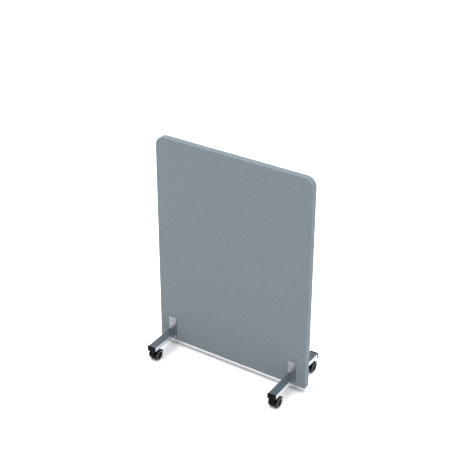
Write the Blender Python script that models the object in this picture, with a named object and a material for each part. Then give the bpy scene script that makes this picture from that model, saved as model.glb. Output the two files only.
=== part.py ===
"""A mobile partition wall: an upholstered panel clamped between two castored T-feet.

Metres, +Z up, +X along the panel, and the front looks along -Y. The origin is on the floor, under
the panel's centre. Pieces that touch on the real object keep GAP between them here.
"""

import math

import bmesh
import bpy
from mathutils import Euler

# Driving dimensions
PANEL_WIDTH = 1.000
PANEL_HEIGHT = 1.330
PANEL_THICKNESS = 0.040
PANEL_BOTTOM = 0.035  # clear height under the panel
TOP_CORNER_RADIUS = 0.055
BOTTOM_CORNER_RADIUS = 0.004
FOOT_DEPTH = 0.487  # over both end caps
FOOT_X = 0.4125  # from the panel's centre to each foot
TUBE_WIDTH = 0.050
TUBE_HEIGHT = 0.030
TUBE_WALL = 0.002
TUBE_BOTTOM = 0.073  # the castor's overall height
WHEEL_RADIUS = 0.030
SWIVEL_Y = 0.222  # from the panel's middle plane to each swivel axis
CASTOR_TRAIL = 0.024  # from a swivel axis to its axle
GAP = 0.0003
ROUND_SIDES = 16  # round a plain rod
CUT_OVER = 0.001  # how far a cutter stands past the face that it enters

# Panel
PANEL_CORNER_STEPS = 8
COVER_WALL = 0.003  # thin foam with the fabric over it
COVER_ARRIS = 0.003
FRAME_INSET = COVER_WALL + GAP
FRAME_HALF = PANEL_THICKNESS / 2 - FRAME_INSET
RAIL_HEIGHT = 0.060
STILE_WIDTH = 0.045
BOTTOM_RAIL_HEIGHT = 0.165  # tall enough for both rows of screws
PANEL_TOP = PANEL_BOTTOM + PANEL_HEIGHT

# Plates and their screws
PLATE_THICKNESS = 0.003
PLATE_CORNER = 0.002
PLATE_BOTTOM = PANEL_BOTTOM + 0.012
PLATE_TOP = PANEL_BOTTOM + 0.1605
PLATE_INNER_Y = PANEL_THICKNESS / 2 + GAP
PLATE_OUTER_Y = PLATE_INNER_Y + PLATE_THICKNESS
SCREW_HEIGHTS = {"lower": 0.126, "upper": 0.172}
SCREW_RADIUS = 0.003
SCREW_LENGTH = 0.034
SLEEVE_RADIUS = 0.004
SLEEVE_LENGTH = 0.028
SLEEVE_BORE_START = 0.006
HEAD_RADIUS = 0.006
HEAD_RECESS = 0.0002
SOCKET_RADIUS = 0.002
SOCKET_DEPTH = 0.002
SCREW_HOLE_RADIUS = 0.0045
COUNTERSINK_SIDES = 20
COUNTERSINK_PLAY = 0.0001  # added to GAP, because the hole has flat sides

# Tubes and end caps
TUBE_CORNER = 0.003
TUBE_INNER_CORNER = 0.001
TUBE_CORNER_STEPS = 3
TUBE_INNER_Y = PLATE_OUTER_Y + GAP
CAP_THICKNESS = 0.007
CAP_LIP = 0.002  # how far the lid stands out all round the tube
CAP_COLLAR_LENGTH = 0.004  # short of the castor's nut
CAP_COLLAR_WALL = 0.0018
CAP_ARRIS = 0.001
TUBE_OUTER_Y = FOOT_DEPTH / 2 - CAP_THICKNESS - GAP

# Castors
THREAD_RADIUS = 0.005
THREAD_REACH = 0.0135  # above the tube's underside
NUT_FLATS = 0.017
NUT_HEIGHT = 0.008
COLLAR_FLATS = 0.019
COLLAR_HEIGHT = 0.0035
PIN_RADIUS = 0.0055
PIN_BOTTOM = 0.046
STEM_POINT = 0.001
BOSS_RADIUS = 0.0095
BOSS_BOTTOM = 0.040
BOSS_SIDES = 20
HOOD_INNER_RADIUS = 0.033
HOOD_OUTER_RADIUS = 0.035
HOOD_BACK = 0.001  # from the axle to the fender's own centre, along the trail and up
HOOD_LIFT = 0.003
HOOD_WIDTH = 0.055
HOOD_START = 5  # degrees up from the trailing side
HOOD_END = 190
HOOD_STEPS = 16
WEB_WIDTH = 0.019
WEB_RADIUS = 0.0342
WEB_SPREAD = 60  # degrees of the axle's boss that the web reaches round at each end
AXLE_BOSS_RADIUS = 0.009
AXLE_RADIUS = 0.003
AXLE_POINT = 0.0005
WHEEL_WIDTH = 0.018
WHEEL_X = 0.019  # from the castor's middle to each wheel's
TYRE_INNER_RADIUS = 0.0245
TYRE_SHOULDER = 0.0025
HUB_RADIUS = TYRE_INNER_RADIUS - GAP
HUB_FACE = WHEEL_WIDTH / 2 - 0.0009  # the hub's rim, just inside the tyre's side
HUB_RIM_RADIUS = 0.022
HUB_DISH_RADIUS = 0.021
HUB_DISH_DEPTH = 0.002
HUB_BOSS_RADIUS = 0.008
HUB_BOSS_TOP_RADIUS = 0.007
HUB_BOSS_DROP = 0.0004  # below the rim
BORE_RADIUS = AXLE_RADIUS + GAP
BORE_END = 0.003  # how far the blind bore passes the wheel's middle
WHEEL_SIDES = 24

SIDES = {"left": -1, "right": 1}
ENDS = {"front": -1, "rear": 1}


def clear_scene():
    for obj in list(bpy.data.objects):
        bpy.data.objects.remove(obj, do_unlink=True)


def principled(name, color, roughness, metallic=0.0):
    material = bpy.data.materials.new(name)
    material.use_nodes = True
    shader = material.node_tree.nodes["Principled BSDF"]
    shader.inputs["Base Color"].default_value = (*color, 1.0)
    shader.inputs["Roughness"].default_value = roughness
    shader.inputs["Metallic"].default_value = metallic
    material.diffuse_color = (*color, 1.0)
    return material


def mesh_of(bm):
    bmesh.ops.recalc_face_normals(bm, faces=bm.faces)
    mesh = bpy.data.meshes.new("shape")
    bm.to_mesh(mesh)
    bm.free()
    return mesh


def rounded_outline(half_width, bottom, top, bottom_radius, top_radius, steps):
    """Points round a rectangle with rounded corners, centred on the first coordinate."""
    corners = (
        (half_width - top_radius, top - top_radius, top_radius, 0),
        (top_radius - half_width, top - top_radius, top_radius, 90),
        (bottom_radius - half_width, bottom + bottom_radius, bottom_radius, 180),
        (half_width - bottom_radius, bottom + bottom_radius, bottom_radius, 270),
    )
    points = []
    for u, v, radius, start in corners:
        if radius:
            points += arc(u, v, radius, start, start + 90, steps)
        else:
            points.append((u, v))
    return points


def arc(u, v, radius, start, end, steps):
    """Points along an arc about (u, v), from one angle in degrees to the other."""
    angles = [math.radians(start + (end - start) * step / steps) for step in range(steps + 1)]
    return [(u + radius * math.cos(a), v + radius * math.sin(a)) for a in angles]


def prism(outline, low, high, along="Y", arris=0.0):
    """The outline pushed from low to high along X or Y, with the edges round its low end eased."""
    bm = bmesh.new()
    ends = []
    for depth in (low, high):
        if along == "Y":
            ends.append([bm.verts.new((u, depth, v)) for u, v in outline])
        else:
            ends.append([bm.verts.new((depth, u, v)) for u, v in outline])
    first, last = ends
    low_face = bm.faces.new(first)
    bm.faces.new(reversed(last))
    for i in range(len(outline)):
        bm.faces.new((first[i - 1], first[i], last[i], last[i - 1]))
    if arris:
        bmesh.ops.recalc_face_normals(bm, faces=bm.faces)
        bmesh.ops.bevel(bm, geom=list(low_face.edges), offset=arris, segments=2, profile=0.5,
                        affect="EDGES")
    return mesh_of(bm)


def turned(profile, sides, flats=False):
    """A solid turned about Z from (radius, height) points round its section.

    With flats, the radii are measured to the middle of each side, one of which faces +X.
    """
    bm = bmesh.new()
    scale = 1 / math.cos(math.pi / sides) if flats else 1
    shift = 0.5 if flats else 0
    rings = []
    for radius, height in profile:
        if not radius:
            rings.append([bm.verts.new((0, 0, height))])
            continue
        ring = []
        for side in range(sides):
            angle = 2 * math.pi * (side + shift) / sides
            ring.append(bm.verts.new((radius * scale * math.cos(angle),
                                      radius * scale * math.sin(angle), height)))
        rings.append(ring)
    for low, high in zip(rings, rings[1:] + rings[:1]):
        for side in range(sides):
            after = (side + 1) % sides
            corners = [low[side % len(low)], low[after % len(low)],
                       high[after % len(high)], high[side % len(high)]]
            face = list(dict.fromkeys(corners))
            if len(face) > 2:
                bm.faces.new(face)
    return mesh_of(bm)


def moved(mesh, place, turn=(0, 0, 0)):
    """A copy of the mesh, turned by degrees about X, Y and Z and then moved."""
    copy = mesh.copy()
    matrix = Euler([math.radians(angle) for angle in turn]).to_matrix().to_4x4()
    matrix.translation = place
    copy.transform(matrix)
    return copy


def rod(radius, low, high, sides=ROUND_SIDES):
    """A plain cylinder along Z."""
    return turned([(0, low), (radius, low), (radius, high), (0, high)], sides)


def carved(mesh, cutters=(), joined=()):
    """The mesh with the joined meshes added and then the cutters taken away."""
    work = [bpy.data.objects.new("work", mesh)]
    steps = [(other, "UNION") for other in joined] + [(other, "DIFFERENCE") for other in cutters]
    for other, operation in steps:
        tool = bpy.data.objects.new("tool", other)
        work.append(tool)
        boolean = work[0].modifiers.new(operation, "BOOLEAN")
        boolean.operation = operation
        boolean.object = tool
    for obj in work:
        bpy.context.scene.collection.objects.link(obj)
    graph = bpy.context.evaluated_depsgraph_get()
    result = bpy.data.meshes.new_from_object(work[0].evaluated_get(graph))
    for obj in work:
        bpy.data.objects.remove(obj, do_unlink=True)
    return result


def place(name, mesh, material, location=(0, 0, 0), turn=(0, 0, 0), parent=None, smooth=False):
    """One named piece. Pieces may share a mesh."""
    if not mesh.users:
        mesh.name = name
    if not mesh.materials:
        mesh.materials.append(material)
    if smooth:
        mesh.shade_smooth()
        mesh.set_sharp_from_angle(angle=math.radians(35))
    obj = bpy.data.objects.new(name, mesh)
    bpy.context.scene.collection.objects.link(obj)
    obj.location = location
    obj.rotation_euler = [math.radians(angle) for angle in turn]
    obj.parent = parent
    return obj


def axis_empty(name, location, turn=(0, 0, 0), parent=None):
    empty = bpy.data.objects.new(name, None)
    empty.empty_display_size = 0.03
    bpy.context.scene.collection.objects.link(empty)
    empty.location = location
    empty.rotation_euler = [math.radians(angle) for angle in turn]
    empty.parent = parent
    return empty


def screw_places():
    """Name and place in X and Z of each through-screw."""
    return [(f"{side}_{row}", sign * FOOT_X, height)
            for side, sign in SIDES.items() for row, height in SCREW_HEIGHTS.items()]


def screw_drills(half_length):
    drill = rod(SCREW_HOLE_RADIUS, -half_length, half_length)
    return [moved(drill, (x, 0, z), turn=(90, 0, 0)) for _, x, z in screw_places()]


def cover_mesh():
    """Half of the panel's cover: an open tray over one face and half of each edge."""
    half_width = PANEL_WIDTH / 2
    outer = rounded_outline(half_width, PANEL_BOTTOM, PANEL_TOP, BOTTOM_CORNER_RADIUS,
                            TOP_CORNER_RADIUS, PANEL_CORNER_STEPS)
    hollow = rounded_outline(half_width - COVER_WALL, PANEL_BOTTOM + COVER_WALL,
                             PANEL_TOP - COVER_WALL, 0, TOP_CORNER_RADIUS - COVER_WALL,
                             PANEL_CORNER_STEPS)
    face = -PANEL_THICKNESS / 2
    tray = prism(outer, face, -GAP / 2, arris=COVER_ARRIS)
    cavity = prism(hollow, face + COVER_WALL, -face)
    return carved(tray, cutters=[cavity, *screw_drills(PANEL_THICKNESS)])


def build_panel(fabric, wood, felt):
    cover = cover_mesh()
    place("front_cover", cover, fabric)
    place("rear_cover", cover, fabric, turn=(0, 0, 180))

    half_width = PANEL_WIDTH / 2 - FRAME_INSET
    bottom = PANEL_BOTTOM + FRAME_INSET
    top = PANEL_TOP - FRAME_INSET
    rail_bottom = top - RAIL_HEIGHT
    corner = TOP_CORNER_RADIUS - FRAME_INSET
    rail = rounded_outline(half_width, rail_bottom, top, 0, corner, PANEL_CORNER_STEPS)
    place("top_rail", prism(rail, -FRAME_HALF, FRAME_HALF), wood)

    stile = rounded_outline(STILE_WIDTH / 2, bottom, rail_bottom - GAP, 0, 0, 1)
    stile_mesh = prism(stile, -FRAME_HALF, FRAME_HALF)
    for side, sign in SIDES.items():
        place(f"{side}_stile", stile_mesh, wood, (sign * (half_width - STILE_WIDTH / 2), 0, 0))

    inner = half_width - STILE_WIDTH - GAP
    lower = rounded_outline(inner, bottom, bottom + BOTTOM_RAIL_HEIGHT, 0, 0, 1)
    lower_mesh = carved(prism(lower, -FRAME_HALF, FRAME_HALF), screw_drills(PANEL_THICKNESS))
    place("bottom_rail", lower_mesh, wood)

    core = rounded_outline(inner, bottom + BOTTOM_RAIL_HEIGHT + GAP, rail_bottom - GAP, 0, 0, 1)
    place("acoustic_core", prism(core, -FRAME_HALF, FRAME_HALF), felt)


def screw_mesh():
    """A countersunk screw along Z, with its head's face just below z = 0."""
    rim = HEAD_RADIUS - HEAD_RECESS
    return turned([(0, SOCKET_DEPTH), (SOCKET_RADIUS, SOCKET_DEPTH), (SOCKET_RADIUS, HEAD_RECESS),
                   (rim, HEAD_RECESS), (SCREW_RADIUS, HEAD_RADIUS - SCREW_RADIUS),
                   (SCREW_RADIUS, SCREW_LENGTH), (0, SCREW_LENGTH)], ROUND_SIDES)


def sleeve_mesh():
    """A countersunk sleeve nut along Z, which the screw enters from its far end."""
    rim = HEAD_RADIUS - HEAD_RECESS
    bore = SCREW_RADIUS + GAP
    return turned([(0, SOCKET_DEPTH), (SOCKET_RADIUS, SOCKET_DEPTH), (SOCKET_RADIUS, HEAD_RECESS),
                   (rim, HEAD_RECESS), (SLEEVE_RADIUS, HEAD_RADIUS - SLEEVE_RADIUS),
                   (SLEEVE_RADIUS, SLEEVE_LENGTH), (bore, SLEEVE_LENGTH),
                   (bore, SLEEVE_BORE_START), (0, SLEEVE_BORE_START)], ROUND_SIDES)


def build_screws(steel):
    screw = screw_mesh()
    sleeve = sleeve_mesh()
    for name, x, z in screw_places():
        place(f"{name}_screw", screw, steel, (x, -PLATE_OUTER_Y, z), (-90, 0, 0), smooth=True)
        place(f"{name}_sleeve_nut", sleeve, steel, (x, PLATE_OUTER_Y, z), (90, 0, 0), smooth=True)


def plate_mesh():
    """A foot's plate, with countersunk holes, for the side that faces -Y."""
    outline = rounded_outline(TUBE_WIDTH / 2, PLATE_BOTTOM, PLATE_TOP, PLATE_CORNER,
                              PLATE_CORNER, 2)
    plate = prism(outline, -PLATE_OUTER_Y, -PLATE_INNER_Y)
    mouth = HEAD_RADIUS + GAP + COUNTERSINK_PLAY
    barrel = SLEEVE_RADIUS + GAP + COUNTERSINK_PLAY
    countersink = turned([(0, -CUT_OVER), (mouth + CUT_OVER, -CUT_OVER),
                          (barrel, mouth - barrel), (barrel, 2 * PLATE_THICKNESS),
                          (0, 2 * PLATE_THICKNESS)], COUNTERSINK_SIDES)
    holes = [moved(countersink, (0, -PLATE_OUTER_Y, z), turn=(-90, 0, 0))
             for z in SCREW_HEIGHTS.values()]
    return carved(plate, cutters=holes)


def tube_outline(inset, corner):
    return rounded_outline(TUBE_WIDTH / 2 - inset, TUBE_BOTTOM + inset,
                           TUBE_BOTTOM + TUBE_HEIGHT - inset, corner, corner,
                           TUBE_CORNER_STEPS)


def tube_mesh():
    """A foot's tube for the side that faces -Y, with the castor's hole in its underside."""
    tube = prism(tube_outline(0, TUBE_CORNER), -TUBE_OUTER_Y, -TUBE_INNER_Y)
    hollow = prism(tube_outline(TUBE_WALL, TUBE_INNER_CORNER), -FOOT_DEPTH / 2, 0)
    hole = rod(THREAD_RADIUS + GAP, TUBE_BOTTOM - TUBE_WALL, TUBE_BOTTOM + 2 * TUBE_WALL)
    return carved(tube, cutters=[hollow, moved(hole, (0, -SWIVEL_Y, 0))])


def cap_mesh():
    """An end cap for the side that faces -Y: a lid and the collar that plugs the tube."""
    outer_y = -FOOT_DEPTH / 2
    inner_y = outer_y + CAP_THICKNESS
    lid = prism(tube_outline(-CAP_LIP, TUBE_CORNER), outer_y, inner_y, arris=CAP_ARRIS)
    inset = TUBE_WALL + GAP
    collar = prism(tube_outline(inset, TUBE_INNER_CORNER), inner_y - CAP_THICKNESS / 2,
                   inner_y + CAP_COLLAR_LENGTH)
    hollow = prism(tube_outline(inset + CAP_COLLAR_WALL, TUBE_INNER_CORNER), inner_y,
                   inner_y + 2 * CAP_COLLAR_LENGTH)
    return carved(lid, joined=[collar], cutters=[hollow])


def hexagon(across_flats, low, high):
    """A hexagon along Z, with a flat towards +X."""
    half = across_flats / 2
    return turned([(0, low), (half, low), (half, high), (0, high)], 6, flats=True)


def castor_nut_mesh():
    low = TUBE_BOTTOM + TUBE_WALL + GAP
    hole = rod(THREAD_RADIUS + GAP, low - NUT_HEIGHT, low + 2 * NUT_HEIGHT)
    return carved(hexagon(NUT_FLATS, low, low + NUT_HEIGHT), cutters=[hole])


def stem_mesh():
    """The castor's stem about Z: thread, hexagon collar and the pin that the hood turns on."""
    collar_top = TUBE_BOTTOM - GAP
    collar_bottom = collar_top - COLLAR_HEIGHT
    middle = (collar_top + collar_bottom) / 2
    thread_top = TUBE_BOTTOM + THREAD_REACH
    spindle = turned([(0, PIN_BOTTOM), (PIN_RADIUS - STEM_POINT, PIN_BOTTOM),
                      (PIN_RADIUS, PIN_BOTTOM + STEM_POINT), (PIN_RADIUS, middle),
                      (THREAD_RADIUS, middle), (THREAD_RADIUS, thread_top - STEM_POINT),
                      (THREAD_RADIUS - STEM_POINT, thread_top), (0, thread_top)], ROUND_SIDES)
    return carved(spindle, joined=[hexagon(COLLAR_FLATS, collar_bottom, collar_top)])


def build_feet(steel, plate_steel, cap_plastic, nut_steel):
    plate, tube, cap, nut = plate_mesh(), tube_mesh(), cap_mesh(), castor_nut_mesh()
    stem = stem_mesh()
    for end, end_sign in ENDS.items():
        turn = (0, 0, 0 if end_sign < 0 else 180)
        for side, side_sign in SIDES.items():
            name = f"{end}_{side}"
            foot = (side_sign * FOOT_X, 0, 0)
            swivel = (side_sign * FOOT_X, end_sign * SWIVEL_Y, 0)
            place(f"{name}_plate", plate, plate_steel, foot, turn)
            place(f"{name}_tube", tube, steel, foot, turn, smooth=True)
            place(f"{name}_end_cap", cap, cap_plastic, foot, turn, smooth=True)
            place(f"{name}_castor_nut", nut, nut_steel, swivel)
            place(f"{name}_castor_stem", stem, nut_steel, swivel, smooth=True)


def hood_mesh():
    """The castor's body: fender, web and stem socket, about the swivel axis, trailing to +Y."""
    y, z = CASTOR_TRAIL, WHEEL_RADIUS
    back, high = y + HOOD_BACK, z + HOOD_LIFT
    fender = prism(arc(back, high, HOOD_OUTER_RADIUS, HOOD_START, HOOD_END, HOOD_STEPS)
                   + arc(back, high, HOOD_INNER_RADIUS, HOOD_END, HOOD_START, HOOD_STEPS),
                   -HOOD_WIDTH / 2, HOOD_WIDTH / 2, along="X")
    web = prism(arc(back, high, WEB_RADIUS, HOOD_START, HOOD_END, HOOD_STEPS)
                + arc(y, z, AXLE_BOSS_RADIUS, HOOD_END + WEB_SPREAD,
                      HOOD_START + 360 - WEB_SPREAD, 3),
                -WEB_WIDTH / 2, WEB_WIDTH / 2, along="X")
    boss_top = TUBE_BOTTOM - GAP - COLLAR_HEIGHT - GAP
    boss = rod(BOSS_RADIUS, BOSS_BOTTOM, boss_top, BOSS_SIDES)
    socket = rod(PIN_RADIUS + GAP, PIN_BOTTOM - GAP, 2 * TUBE_BOTTOM)
    axle_hole = moved(rod(BORE_RADIUS, -HOOD_WIDTH, HOOD_WIDTH), (0, y, z), turn=(0, 90, 0))
    return carved(fender, joined=[web, boss], cutters=[socket, axle_hole])


def axle_mesh():
    """The axle along Z, centred."""
    half = WHEEL_X + BORE_END - GAP
    return turned([(0, -half), (AXLE_RADIUS - AXLE_POINT, -half),
                   (AXLE_RADIUS, AXLE_POINT - half), (AXLE_RADIUS, half - AXLE_POINT),
                   (AXLE_RADIUS - AXLE_POINT, half), (0, half)], ROUND_SIDES)


def tyre_mesh():
    """The tread ring about Z, centred on the wheel's middle plane."""
    half = WHEEL_WIDTH / 2
    shoulder_radius = WHEEL_RADIUS - TYRE_SHOULDER
    shoulder_height = half - TYRE_SHOULDER
    return turned([(TYRE_INNER_RADIUS, -half), (shoulder_radius, -half),
                   (WHEEL_RADIUS, -shoulder_height), (WHEEL_RADIUS, shoulder_height),
                   (shoulder_radius, half), (TYRE_INNER_RADIUS, half)], WHEEL_SIDES, flats=True)


def hub_mesh():
    """The wheel's hub about Z: a dished face with a centre boss at +Z, and a blind bore."""
    inner = -WHEEL_WIDTH / 2 + GAP
    dish = HUB_FACE - HUB_DISH_DEPTH
    centre = HUB_FACE - HUB_BOSS_DROP
    return turned([(BORE_RADIUS, inner), (HUB_RADIUS, inner), (HUB_RADIUS, HUB_FACE),
                   (HUB_RIM_RADIUS, HUB_FACE), (HUB_DISH_RADIUS, dish), (HUB_BOSS_RADIUS, dish),
                   (HUB_BOSS_TOP_RADIUS, centre), (0, centre), (0, BORE_END),
                   (BORE_RADIUS, BORE_END)], WHEEL_SIDES, flats=True)


def build_castors(hood_plastic, axle_steel, hub_plastic, tread):
    hood, axle, tyre, hub = hood_mesh(), axle_mesh(), tyre_mesh(), hub_mesh()
    for end, end_sign in ENDS.items():
        for side, side_sign in SIDES.items():
            name = f"{end}_{side}"
            # Each castor trails towards the panel, so a rear one is turned half round.
            swivel = axis_empty(f"{name}_swivel_axis",
                                (side_sign * FOOT_X, end_sign * SWIVEL_Y, 0),
                                (0, 0, 0 if end_sign < 0 else 180))
            place(f"{name}_hood", hood, hood_plastic, parent=swivel, smooth=True)
            roll = axis_empty(f"{name}_roll_axis", (0, CASTOR_TRAIL, WHEEL_RADIUS), parent=swivel)
            place(f"{name}_axle", axle, axle_steel, turn=(0, 90, 0), parent=roll, smooth=True)
            for facing in (-1, 1):
                where = "outer" if facing * -end_sign == side_sign else "inner"
                wheel_place = (facing * WHEEL_X, 0, 0)
                wheel_turn = (0, 90 * facing, 0)
                place(f"{name}_{where}_hub", hub, hub_plastic, wheel_place, wheel_turn, roll,
                      smooth=True)
                place(f"{name}_{where}_tyre", tyre, tread, wheel_place, wheel_turn, roll,
                      smooth=True)


def main():
    clear_scene()
    fabric = principled("blue_grey_fabric", (0.235, 0.285, 0.315), 0.9)
    wood = principled("pine", (0.62, 0.46, 0.28), 0.65)
    felt = principled("acoustic_felt", (0.55, 0.55, 0.52), 0.95)
    silver = principled("satin_steel_tube", (0.48, 0.50, 0.53), 0.3, 1.0)
    bright = principled("satin_steel_plate", (0.50, 0.52, 0.55), 0.3, 1.0)
    zinc = principled("zinc_steel", (0.60, 0.60, 0.60), 0.35, 0.9)
    black = principled("black_plastic", (0.02, 0.02, 0.022), 0.5)
    hub_black = principled("hub_plastic", (0.03, 0.03, 0.035), 0.45)
    rubber = principled("black_rubber", (0.03, 0.03, 0.03), 0.8)
    build_panel(fabric, wood, felt)
    build_screws(zinc)
    build_feet(silver, bright, black, zinc)
    build_castors(black, zinc, hub_black, rubber)


main()
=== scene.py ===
"""The looks of the mobile partition wall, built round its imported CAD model.

Metres, +Z up, +X along the panel; the front looks along -Y. Every detailed piece stands for CAD
nodes of the same size and rides on their body.
"""

import math

import bmesh
import bpy
from mathutils import Matrix, Vector, noise


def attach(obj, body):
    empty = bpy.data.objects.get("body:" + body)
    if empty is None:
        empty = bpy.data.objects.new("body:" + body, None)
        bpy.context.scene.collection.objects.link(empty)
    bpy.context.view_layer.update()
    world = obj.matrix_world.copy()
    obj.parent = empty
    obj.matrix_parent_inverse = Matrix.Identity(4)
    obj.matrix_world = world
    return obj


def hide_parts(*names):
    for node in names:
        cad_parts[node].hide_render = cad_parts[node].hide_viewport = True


# The CAD model's driving dimensions
PANEL_WIDTH = 1.000
PANEL_THICKNESS = 0.040
PANEL_BOTTOM = 0.035
PANEL_TOP = 1.365
TOP_CORNER_RADIUS = 0.055
BOTTOM_CORNER_RADIUS = 0.004
FOOT_DEPTH = 0.487
FOOT_X = 0.4125
TUBE_WIDTH = 0.050
TUBE_HEIGHT = 0.030
TUBE_WALL = 0.002
TUBE_BOTTOM = 0.073
TUBE_CORNER = 0.003
WHEEL_RADIUS = 0.030
SWIVEL_Y = 0.222
CASTOR_TRAIL = 0.024
GAP = 0.0003

# Cloth
EDGE_RADIUS = 0.003
CLOTH_THICKNESS = 0.0009
FACE_Y = -PANEL_THICKNESS / 2
# From the seam out towards the face, as (inset from the outline, y)
SEAM_STEPS = ((0.0026, -0.00055), (0.0014, -0.00045), (0.0007, -0.0006), (0.0002, -0.0011),
              (0.0, -0.002), (0.0, -0.006), (0.0, -0.0115))
FACE_INSETS = (0.006, 0.016, 0.034, TOP_CORNER_RADIUS)
CORNER_STEPS = 12
# The grid in the middle of the face
GRID_STEP = 0.02
X_SPAN = PANEL_WIDTH / 2 - TOP_CORNER_RADIUS
Z_LOW = PANEL_BOTTOM + TOP_CORNER_RADIUS
Z_HIGH = PANEL_TOP - TOP_CORNER_RADIUS
COLUMNS = round((PANEL_WIDTH - 2 * TOP_CORNER_RADIUS) / GRID_STEP)
ROWS = round((PANEL_TOP - PANEL_BOTTOM - 2 * TOP_CORNER_RADIUS) / GRID_STEP)
# The hollows in the face
HOLLOW_DEPTH = 0.00035
HOLLOW_SCALE = 5.0
HOLLOW_SEED = 3.7
HOLLOW_MARGIN = 0.006
HOLLOW_FADE = 0.05

# Weave
THREAD_PITCH = 0.0012
WARP_COLOR = (0.165, 0.194, 0.209)
WEFT_COLOR = (0.155, 0.190, 0.212)
SLUB_SCALE = 22
FIBRE_SCALE = 2600.0
STREAK_ACROSS = 240
STREAK_ALONG = 26
DRIFT_SCALE = 2.3

# Tape and staples under the panel
TAPE_LENGTH = 0.976
TAPE_WIDTH = 0.027
TAPE_THICKNESS = 0.0006
TAPE_TOP = PANEL_BOTTOM - 0.0001
TAPE_STEPS = 60
STAPLES = 25
STAPLE_SPAN = 0.936  # from the first staple to the last
STAPLE_ROW_Y = 0.008
STAPLE_SLANT = 20
STAPLE_CROWN = 0.010
STAPLE_TURN_UP = 0.0007
STAPLE_RADIUS = 0.0004

# Plates, screws and welds
PLATE_THICKNESS = 0.003
PLATE_BOTTOM = 0.047
PLATE_TOP = 0.1955
PLATE_CORNER = 0.002
PLATE_ARRIS = 0.0004
PLATE_INNER_Y = PANEL_THICKNESS / 2 + GAP
PLATE_OUTER_Y = PLATE_INNER_Y + PLATE_THICKNESS
SCREW_HEIGHTS = {"lower": 0.126, "upper": 0.172}
HEAD_RADIUS = 0.0058
SCREW_RADIUS = 0.003
SLEEVE_RADIUS = 0.004
SOCKET_RADIUS = 0.0023
SCREW_LENGTH = 0.034
SLEEVE_LENGTH = 0.028
SLEEVE_BORE_START = 0.006
MOUTH_RADIUS = 0.0063  # the countersink at the plate's face
BARREL_RADIUS = 0.0044
SCREW_SIDES = 48
WELD_LENGTH = 0.045
WELD_LEG = 0.0021
WELD_PITCH = 0.0017
WELD_STEPS = 110

# End caps
CAP_THICKNESS = 0.007
CAP_LIP = 0.002  # how far the lid stands out all round the tube
CAP_COLLAR_LENGTH = 0.004
CAP_COLLAR_WALL = 0.0018
CAP_ARRIS = 0.0012
TUBE_OUTER_Y = FOOT_DEPTH / 2 - CAP_THICKNESS - GAP

# Castors
COLLAR_HEIGHT = 0.0035
COLLAR_FLATS = 0.019
PIN_RADIUS = 0.0055
PIN_BOTTOM = 0.046
THREAD_RADIUS = 0.005
THREAD_TOP = 0.0865
HOOD_INNER_RADIUS = 0.033
HOOD_OUTER_RADIUS = 0.035
HOOD_CROWN = 0.0003
HOOD_BACK = 0.001  # from the axle to the fender's own centre, along the trail and up
HOOD_LIFT = 0.003
HOOD_Y = CASTOR_TRAIL + HOOD_BACK
HOOD_Z = WHEEL_RADIUS + HOOD_LIFT
HOOD_HALF_WIDTH = 0.0275
HOOD_START = 5  # degrees about the fender's centre, from straight back
HOOD_END = 190
WEB_HALF_WIDTH = 0.0095
WEB_RADIUS = 0.0342
WEB_SPREAD = 60
AXLE_BOSS_RADIUS = 0.009
AXLE_HOLE_RADIUS = 0.0033
BOSS_RADIUS = 0.0095
BOSS_BOTTOM = 0.040
WHEEL_HALF_WIDTH = 0.009
WHEEL_X = 0.019
TYRE_INNER_RADIUS = 0.0245
HUB_BORE_END = 0.003
WHEEL_SIDES = 96

# Studio
FLOOR_REACH = 60.0
# The sky by the sine of its height: pale behind the wall, dim where the tubes mirror it
HORIZON = (0.17, (1.0, 1.0, 1.0, 1))
SKY_BANDS = ((0.28, 0.38), (0.40, 0.18), (0.60, 0.20))
ZENITH = (0.75, (0.46, 0.465, 0.47, 1))
SUN_ENERGY = 5.4
SUN_ANGLE = 75
SUN_TILT = -1
CAMERA_AZIMUTH = 33.14
CAMERA_ELEVATION = 29.36
CAMERA_DISTANCE = 6.42
CAMERA_AIM = (0, 0, 0.700)
CAMERA_ACROSS = -0.0442
CAMERA_LIFT = 0.2102
CAMERA_LENS = 91.6

POINT = 1e-9  # the radius that stands for a point on an axis
SIDES = {"left": -1, "right": 1}
ENDS = {"front": -1, "rear": 1}

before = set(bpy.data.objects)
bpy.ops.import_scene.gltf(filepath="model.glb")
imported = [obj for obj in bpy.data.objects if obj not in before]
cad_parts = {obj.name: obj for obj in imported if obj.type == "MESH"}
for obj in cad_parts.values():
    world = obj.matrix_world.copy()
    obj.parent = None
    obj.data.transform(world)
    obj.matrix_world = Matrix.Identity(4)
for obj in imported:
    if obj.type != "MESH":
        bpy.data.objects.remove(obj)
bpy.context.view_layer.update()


# ---------------------------------------------------------------- materials


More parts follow.
